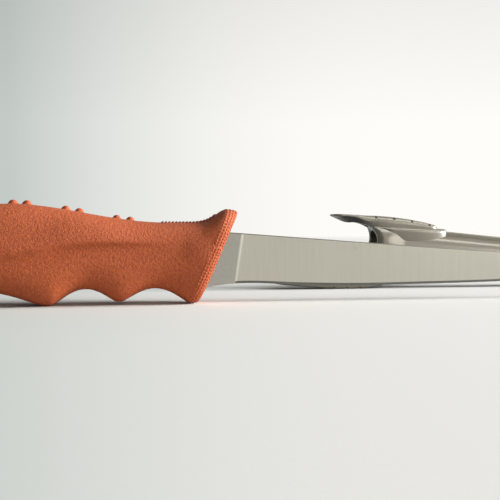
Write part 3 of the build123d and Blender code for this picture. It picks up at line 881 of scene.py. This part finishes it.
def shell_loops():
    """Closed half sections from the lip of the mouth to the drain hole in the tail."""
    outer = shell_arc(0.0, False)
    inner = shell_arc(0.0, True)
    loops = [
        blend_arcs(outer, inner, share, ahead_by) + blend_arcs(inner, outer, share, ahead_by)[::-1]
        for share, ahead_by in lip_line
    ]
    reaches = [0.5 * number for number in range(104)]
    reaches += [52.0 + 2.0 * number for number in range(65)]
    for reach in reaches:
        if reach < pocket_end:
            loops.append(shell_arc(reach, False) + shell_arc(reach, True)[::-1])
    tube_end = sheath_length - tail_round
    for turn in map(math.radians, range(86, 13, -6)):
        depth = tube_end + tail_round * math.cos(turn)
        outer = shell_arc(depth, False, math.sin(turn))
        if depth < pocket_end:
            inner = shell_arc(depth, True)
        else:
            low, high = outer[0][2], outer[-1][2]
            inner = [
                (depth, 0.0, low + (high - low) * number / arc_steps)
                for number in range(arc_steps + 1)
            ]
        loops.append(outer + inner[::-1])
    middle_height = (outer[0][2] + outer[-1][2]) / 2
    for depth in (sheath_length, sheath_length - drain_depth):
        hole = [
            (depth, drain_radius * abs(math.cos(angle)),
             middle_height + drain_radius * math.sin(angle))
            for angle in shell_angles
        ]
        inner = [
            (depth, 0.0, middle_height + drain_radius * (2 * number / arc_steps - 1))
            for number in range(arc_steps + 1)
        ]
        loops.append(hole + inner[::-1])
    return loops


ridge_half = 5.0
top_reach = 22.7             # tongue ahead of the mouth, then ridge behind it
top_length = 33.7
top_lift = 36.8
top_drop = 6.5
tongue_wall = 1.4
ridge_edge = (3.2, 3.6)      # its upper corners are rounded this far across and down
ridge_taper = 1.8            # it narrows towards the tail
notch_pitch = 9.45
notch_width = 1.1
notch_depth = 1.3
notch_start = -0.3
notch_slip = 0.03            # a notch's walls slant by twice this
keel_from = 0.25             # shares of the tongue over which its flanks draw in below
keel_to = -0.95
keel_most = 0.85
ridge_sink = 0.3             # the foot of the ridge sinks by this share over this length
ridge_sink_over = 27.0
tongue_sharp = 0.75          # its corners are sharper on the tongue, over this share
tongue_sharp_over = 0.6
tongue_under = (
    (-0.12, 1.0), (-0.22, 0.83), (-0.344, 0.69), (-0.485, 0.61), (-0.586, 0.631),
    (-0.709, 0.554), (-0.828, 0.385), (-0.94, 0.22), (-1.0, 0.13),
)[::-1]
top_over = (
    (-1.0, 0.02), (-0.95, 0.0), (-0.52, 0.045), (-0.22, 0.10), (0.0, 0.115), (0.46, 0.24),
    (0.891, 0.455), (1.306, 0.76), (1.44, 0.93), (1.485, 1.1),
)
hollow_line = ((-0.86, 0.30), (-0.5, 0.31), (-0.1, 0.36))
hollow_start = hollow_line[0][0]
hollow_stop = hollow_line[-1][0]


def notch_edges(notches, half):
    """Places just inside and just outside the edges of each notch."""
    return [
        notch + side * (half + slip)
        for notch in notches for side in (-1, 1) for slip in (-notch_slip, notch_slip)
    ]


def plan_half(place, start, end, half):
    """Half width of a bar with round ends, seen from above."""
    near = min(place - start, end - place)
    return half if near >= half else math.sqrt(max(half ** 2 - (half - near) ** 2, 0.0))


def bar_loop(depth, half, top, base, roof=None, edge=(0.5, 0.5), foot_edge=0.0, keel=0.0):
    """Half section of a bar: its seam side, a hollow under it if it has one, and its flank.

    A keel draws the foot of the flank in under the bar.
    """
    edge_across = min(edge[0], half * 0.65)
    edge_rise = min(edge[1], (top - base) * 0.6)
    foot_edge = min(foot_edge, half * 0.5, (top - base) * 0.45)
    low = half * (1 - keel)
    inner_low = max(low - tongue_wall, 0.0) if roof is not None else 0.0
    inner_high = max((half + low) / 2 - tongue_wall - 0.4, 0.0) if roof is not None else 0.0
    roof = base if roof is None else roof
    loop = [(depth, 0.0, roof), (depth, inner_high, roof), (depth, inner_low, base)]
    for turn in map(math.radians, (90, 60, 30, 0)):
        across = low - foot_edge * (1 - math.cos(turn))
        loop.append((depth, across, base + foot_edge * (1 - math.sin(turn))))
    for turn in map(math.radians, range(0, 91, 15)):
        across = half - edge_across * (1 - math.cos(turn))
        loop.append((depth, across, top - edge_rise * (1 - math.sin(turn))))
    loop += [(depth, min(0.25, half / 3), top), (depth, 0.0, top - seam_groove / 2)]
    return loop


def top_ridge_loops():
    """Half sections of the top ridge and its hollow tongue."""
    start, end = -top_reach, top_length
    depths = [start + 0.06, start + 0.2, start + 0.4]
    depths += [start + 0.6 + 0.5 * number for number in range(111)]
    depths += [end - 0.4, end - 0.2, end - 0.06]
    notches = [notch_start + number * notch_pitch for number in range(4)]
    depths += notch_edges(notches, notch_width / 2)
    depths += [hollow_stop * top_reach - 0.02, hollow_stop * top_reach + 0.02]
    loops = []
    for depth in sorted(place for place in set(depths) if place < end):
        share = depth / top_reach
        top = top_lift - top_drop * along(top_over, share)
        keel = keel_most * ease((keel_from - share) / (keel_from - keel_to))
        if share < tongue_under[-1][0]:
            base = top_lift - top_drop * along(tongue_under, max(share, -1.0))
        else:
            base = top_lift - top_drop * (1.0 + ridge_sink * max(depth, 0.0) / ridge_sink_over)
        half = plan_half(depth, start, end, ridge_half) - ridge_taper * ease(depth / end)
        half = max(half, 0.1)
        roof = None
        if hollow_start < share < hollow_stop:
            roof = max(top_lift - top_drop * along(hollow_line, share), base)
        full = 1 - tongue_sharp * ease(-share / tongue_sharp_over)
        edge = (ridge_edge[0] * full, ridge_edge[1] * full)
        loop = bar_loop(depth, half, top, min(base, top - 0.3), roof, edge, 0.0, keel)
        if any(abs(depth - notch) < notch_width / 2 for notch in notches):
            floor_height = top - notch_depth
            loop = [(place, across, min(height, floor_height)) for place, across, height in loop]
        loops.append(loop)
    return loops


foot_reach = 50.7
foot_length = 26.0
foot_rise = 9.0
foot_notch_start = -22.0
foot_notch_pitch = 6.6
foot_notch_half = 0.4
foot_notch_depth = 0.5
foot_under = (
    (-50.7, 0.29), (-42.1, 0.19), (-33.0, 0.10), (-23.8, 0.03), (-15.0, 0.003), (-7.5, 0.015),
    (-2.0, 0.07), (1.8, 0.14), (7.8, 0.32), (16.9, 0.50), (26.0, 0.62),
)
foot_over = ((-50.7, 0.39), (-40.0, 0.53), (-25.4, 0.58), (-10.1, 0.68), (0.0, 0.95), (26.0, 0.95))


def foot_ridge_loops():
    """Half sections of the foot ridge and its tongue."""
    start, end = -foot_reach, foot_length
    depths = [start + 0.06, start + 0.25, start + 0.5]
    depths += [start + 1.0 + number for number in range(76)] + [end - 0.25, end - 0.06]
    notches = [foot_notch_start + foot_notch_pitch * number for number in range(3)]
    depths += notch_edges(notches, foot_notch_half)
    loops = []
    for depth in sorted(place for place in set(depths) if place < end):
        base = foot_rise * along(foot_under, depth)
        top = foot_rise * along(foot_over, depth)
        if any(abs(depth - notch) < foot_notch_half for notch in notches):
            base += foot_notch_depth
        loops.append(bar_loop(
            depth, plan_half(depth, start, end, ridge_half), max(top, base + 0.5), base,
            edge=(0.6, 0.6), foot_edge=0.7))
    return loops


saddle_length = 38.3
saddle_half = 6.6
saddle_top = 30.9
saddle_fall = 0.04
saddle_edge = (2.6, 2.2)
saddle_widen = 8.0           # it widens over this much behind the mouth
saddle_nose = 2.0            # length of the stretch over which its nose falls, and by how much
saddle_nose_drop = 1.8
saddle_sunk = 0.5            # its foot stands this deep in the tube


def saddle_loops():
    """Half sections of the saddle that carries the top ridge, down to its round nose."""
    depths = [0.5 + number for number in range(36)]
    depths += [saddle_length - gap for gap in (1.4, 1.0, 0.7, 0.45, 0.25, 0.12, 0.04)]
    loops = []
    for depth in depths:
        full = ridge_half + (saddle_half - ridge_half) * ease(depth / saddle_widen)
        half = full * math.sqrt(1 - (depth / saddle_length) ** 4)
        near_end = max(1 - (saddle_length - depth) / saddle_nose, 0.0)
        top = saddle_top - saddle_fall * depth
        top -= saddle_nose_drop * (1 - math.sqrt(1 - near_end ** 2))
        tube_half, middle_height = shell_point(depth, 0.0)
        tube_high = shell_point(depth, math.pi / 2)[1]
        rest = arch(half / tube_half, shell_squareness)
        base = middle_height + (tube_high - middle_height) * rest - saddle_sunk
        roof = max(shell_point(depth, math.pi / 2, True)[1] + 0.3, base)
        loops.append(bar_loop(depth, half, max(top, base + 0.4), base, roof, saddle_edge))
    return loops


def rail_loops():
    """Half sections of the rail along the top of the tube."""
    end = sheath_length - tail_round
    depths = [rail_start + 4.0 * number for number in range(40)]
    turns = map(math.radians, (0, 20, 40, 60, 80, 89))
    depths += [end - rail_height * (1 - math.sin(turn)) for turn in turns]
    loops = []
    for depth in depths:
        past = max((depth - (end - rail_height)) / rail_height, 0.0)
        top = top_at(depth) - rail_height * (1 - math.sqrt(1 - past * past))
        base = top_at(depth) - 2 * rail_height
        loops.append(bar_loop(depth, rail_half, top, base, edge=rail_edge))
    return loops


pad_middle = (27.0, 17.0)
pad_half = (15.75, 8.5)
pad_corner = 3.0
pad_steps = ((4.0, 0.0), (10.6, 0.0), (11.25, 0.15), (11.55, 0.6))   # out, inset


def pad_loops():
    """Flat pad on the far side that the clip is screwed to, in rounded outlines."""
    outlines = []
    for out, inset in pad_steps:
        corner = pad_corner - inset
        shift_x = pad_half[0] - inset - corner
        shift_z = pad_half[1] - inset - corner
        outline = []
        for quarter, side_x, side_z in ((0, 1, 1), (1, -1, 1), (2, -1, -1), (3, 1, -1)):
            for step in range(7):
                turn = math.radians(90 * quarter + 15 * step)
                outline.append((
                    pad_middle[0] + side_x * shift_x + corner * math.cos(turn), out,
                    pad_middle[1] + side_z * shift_z + corner * math.sin(turn)))
        outlines.append(outline)
    return outlines


# Glass-filled nylon, moulded: mid grey with a satin shine that draws soft bright lines along
# its curves, and the faint clouding of the glass in it. Its undersides are painted darker, as
# painted shade. The grain of the mould is drawn 0.7 mm wide so that it shows.
sheath_nylon, tree = new_material("moulded_grey_nylon")
place = add_node(tree, "TexCoord")
sheath_grain = add_node(tree, "TexNoise", {
    "Vector": place.outputs["Object"],
    "Scale": 1500.0,
    "Detail": 3.0,
})
sheath_flow = streaks(tree, (60.0, 200.0, 200.0), 3.0)
sheath_bump = add_node(tree, "Bump", {
    "Height": sheath_grain,
    "Strength": 0.25,
    "Distance": 0.1 * MM,
})
sheath_tone = add_node(tree, "Mix", {
    "Factor": sheath_flow,
    "A": linear("636054"),
    "B": linear("716d60"),
}, data_type="RGBA")
# Painted shade: faces that look down are coloured darker, towards near black, where shade falls
# under the tongues and in the mouth.
sheath_form = add_node(tree, "NewGeometry")
sheath_facing = add_node(tree, "SeparateXYZ", {"Vector": sheath_form.outputs["Normal"]})
sheath_painted_shade_mask = add_node(tree, "MapRange", {
    "Value": sheath_facing.outputs["Z"],
    "From Min": -0.1,
    "From Max": -0.5,
})
sheath_tone_with_painted_shade = add_node(tree, "Mix", {
    "Factor": sheath_painted_shade_mask,
    "A": sheath_tone,
    "B": linear("3f3f3a"),
}, data_type="RGBA")
sheath_shader = add_node(tree, "BsdfPrincipled", {
    "Base Color": sheath_tone_with_painted_shade,
    "Roughness": 0.3,
    "IOR": 1.53,
    "Coat Weight": 0.35,
    "Coat Roughness": 0.24,
    "Normal": sheath_bump,
})
add_node(tree, "OutputMaterial", {"Surface": sheath_shader})

half_sections = (
    shell_loops(), top_ridge_loops(), saddle_loops(), foot_ridge_loops(), rail_loops())
for name, node, side in (
    ("near_half", "sheath_near_shell", -1), ("far_half", "sheath_far_shell", 1),
):
    half_mesh = bmesh.new()
    for loops in half_sections:
        skin(half_mesh, [
            [
                (mouth_x + depth, sheath_y + side * (across + seam_gap), height)
                for depth, across, height in loop
            ]
            for loop in loops
        ])
    if side > 0:
        skin(half_mesh, [
            [(mouth_x + depth, sheath_y + out, height) for depth, out, height in loop]
            for loop in pad_loops()
        ])
    half = finish_piece(half_mesh, name, 38.0)
    half.data.materials.append(sheath_nylon)
    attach(half, "sheath")
    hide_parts(node)

# Belt clip, a bent spring of the same nylon in a darker batch, with two countersunk screws that
# go into turned brass inserts in the pad.

# Nylon, moulded: charcoal. The pits are drawn 0.7 mm wide so that they show.
dress("belt_clip", moulded_nylon(
    "moulded_charcoal_nylon", 1400.0, 0.3, 3.0, "4c4a44", "5c5a52", 0.42))

# Zinc-plated steel, bright and slightly blue, and free-cutting brass, warm yellow and slightly
# dulled. Both are turned, and their shine varies over about a millimetre.
for node, name, tone, smooth, rough in (
    ("clip_screws", "zinc_plated_steel", "b9bcc0", 0.22, 0.38),
    ("clip_inserts", "turned_brass", "d8b45e", 0.25, 0.40),
):
    metal, tree = new_material(name)
    place = add_node(tree, "TexCoord")
    metal_clouds = add_node(tree, "TexNoise", {
        "Vector": place.outputs["Object"],
        "Scale": 900.0,
        "Detail": 3.0,
    })
    metal_rough = add_node(tree, "MapRange", {
        "Value": metal_clouds,
        "To Min": smooth,
        "To Max": rough,
    })
    metal_shader = add_node(tree, "BsdfPrincipled", {
        "Base Color": linear(tone),
        "Metallic": 1.0,
        "Roughness": metal_rough,
    })
    add_node(tree, "OutputMaterial", {"Surface": metal_shader})
    dress(node, metal)

# Floor, one broad sheet of pale matt paper. It fades out far behind the knife, where the
# plain backdrop of the studio takes over, so there is no line at the horizon.

floor_reach = 4.0
floor_data = bpy.data.meshes.new("paper_floor")
floor_data.from_pydata(
    [(x, y, 0.0) for x, y in ((-1, -1), (1, -1), (1, 1), (-1, 1))], [], [(0, 1, 2, 3)])
floor_data.transform(Matrix.Scale(floor_reach, 4))
floor = put_in_scene("paper_floor", floor_data)

# Paper, uncoated: matt and nearly white, with faint flecks drawn 1.1 mm wide so that they show.
paper, tree = new_material("matt_white_paper")
place = add_node(tree, "TexCoord")
_, paper_tone = cloud(tree, 900.0, 2.0, "dedfde", "e2e3e2")
# Painted shade: the paper is coloured greyer towards the left, in a fan round the foot of the
# camera, where the room's light falls off.
paper_from = add_node(tree, "VectorMath", {
    0: place.outputs["Object"],
    1: (camera_place[0], camera_place[1], 0.0),
}, operation="SUBTRACT")
paper_way = add_node(tree, "VectorMath", {0: paper_from}, operation="NORMALIZE")
paper_side = add_node(tree, "SeparateXYZ", {"Vector": paper_way})
paper_left = add_node(tree, "MapRange", {
    "Value": paper_side.outputs["X"],
    "From Min": 0.34,
    "From Max": -0.12,
})
paper_painted_shade = add_node(tree, "Math", {0: paper_left, 1: 2.0}, operation="POWER")
paper_tone_with_painted_shade = add_node(tree, "Mix", {
    "Factor": paper_painted_shade,
    "A": paper_tone,
    "B": linear("cad1cf"),
}, data_type="RGBA")
paper_shader = add_node(tree, "BsdfPrincipled", {
    "Base Color": paper_tone_with_painted_shade,
    "Roughness": 0.85,
    "Specular IOR Level": 0.2,
})
clear = add_node(tree, "BsdfTransparent")
distance = add_node(tree, "VectorMath", {0: place.outputs["Object"]}, operation="LENGTH")
paper_fade = add_node(tree, "MapRange", {
    "Value": distance,
    "From Min": 0.5,
    "From Max": 3.0,
}, interpolation_type="SMOOTHSTEP")
paper_mix = add_node(tree, "MixShader", {0: paper_fade, 1: paper_shader, 2: clear})
add_node(tree, "OutputMaterial", {"Surface": paper_mix})
floor_data.materials.append(paper)

# Studio, a pale room that is white on the right and greyer on the left. Its front, where the
# camera stands, mirrors dimmer than its back, and sheds more light on the near sides. High on
# the right it is lighter than white, which no hex value can give.

world = bpy.data.worlds.new("studio")
bpy.context.scene.world = world
world.use_nodes = True
tree = world.node_tree
tree.nodes.clear()
place = add_node(tree, "TexCoord")
facing = add_node(tree, "SeparateXYZ", {"Vector": place.outputs["Generated"]})
leftward, front_right, front_high, backward = (
    add_node(tree, "MapRange", {
        "Value": facing.outputs[side],
        "From Min": start,
        "From Max": stop,
    }, interpolation_type=kind)
    for side, start, stop, kind in (
        ("X", 0.34, -0.1, "LINEAR"),
        ("X", -0.3, 0.45, "SMOOTHSTEP"),
        ("Z", 0.12, 0.45, "SMOOTHSTEP"),
        ("Y", -0.5, 0.3, "SMOOTHSTEP"),
    )
)
left_share = add_node(tree, "Math", {0: leftward, 1: 2.0}, operation="POWER")
back_tone = add_node(tree, "Mix", {
    "Factor": left_share,
    "A": linear("fffdf9"),
    "B": linear("c4cbc7"),
}, data_type="RGBA")
front_tone = add_node(tree, "Mix", {
    "Factor": front_right,
    "A": linear("8f918c"),
    "B": linear("f0eade"),
}, data_type="RGBA")
front_bright = add_node(tree, "Math", {0: front_high, 1: front_right}, operation="MULTIPLY")
front_tone = add_node(tree, "Mix", {
    "Factor": front_bright,
    "A": front_tone,
    "B": (1.4, 1.35, 1.24, 1.0),
}, data_type="RGBA")
room_tone = add_node(tree, "Mix", {
    "Factor": backward,
    "A": front_tone,
    "B": back_tone,
}, data_type="RGBA")
ray = add_node(tree, "LightPath")
seen = add_node(tree, "Math", {
    0: ray.outputs["Is Camera Ray"],
    1: ray.outputs["Is Glossy Ray"],
}, operation="ADD")
seen = add_node(tree, "Math", {
    0: seen,
    1: ray.outputs["Is Transmission Ray"],
}, operation="ADD", use_clamp=True)
fill = add_node(tree, "MapRange", {
    "Value": facing.outputs["Y"],
    "From Min": -0.5,
    "From Max": 0.1,
    "To Min": 1.15,
    "To Max": 0.4,
})
room_level = add_node(tree, "MapRange", {"Value": seen, "To Min": fill, "To Max": 1.0})
ceiling = add_node(tree, "MapRange", {
    "Value": facing.outputs["Z"],
    "From Min": 0.12,
    "From Max": 0.8,
    "To Min": 1.0,
    "To Max": 0.35,
})
room_strength = add_node(tree, "Math", {0: room_level, 1: ceiling}, operation="MULTIPLY")
studio = add_node(tree, "Background", {"Color": room_tone, "Strength": room_strength})
add_node(tree, "OutputWorld", {"Surface": studio})


def add_lamp(name, place, aim, size, power, tint):
    """Add a soft lamp, by the two lengths of its face, that faces a point."""
    data = bpy.data.lights.new(name, "AREA")
    data.shape = "RECTANGLE"
    data.size, data.size_y = size
    data.energy = power
    data.color = linear(tint)[:3]
    lamp = put_in_scene(name, data)
    lamp.location = place
    lamp.rotation_euler = (Vector(aim) - Vector(place)).to_track_quat("-Z", "Y").to_euler()
    return lamp


# The window stands to the right, far off and low. A long strip of light hangs over the front of
# the sheath, and draws a line along each of its curves. A panel at the front right puts a soft
# sheen on the sheath's near side.
add_lamp("window", (3.53, -0.42, 1.07), (-0.05, 0.0, 0.02), (1.36, 1.36), 405.0, "fffdfb")
strip = add_lamp("strip", (0.50, -0.20, 0.90), (0.50, -0.19, 0.0), (0.90, 0.26), 7.0, "fffaf0")
strip.visible_diffuse = False
panel = add_lamp("panel", (0.90, -0.90, 0.55), (0.08, 0.03, 0.02), (0.50, 0.40), 4.5, "fff6e6")
panel.visible_diffuse = False

bpy.context.scene.view_settings.view_transform = "Standard"
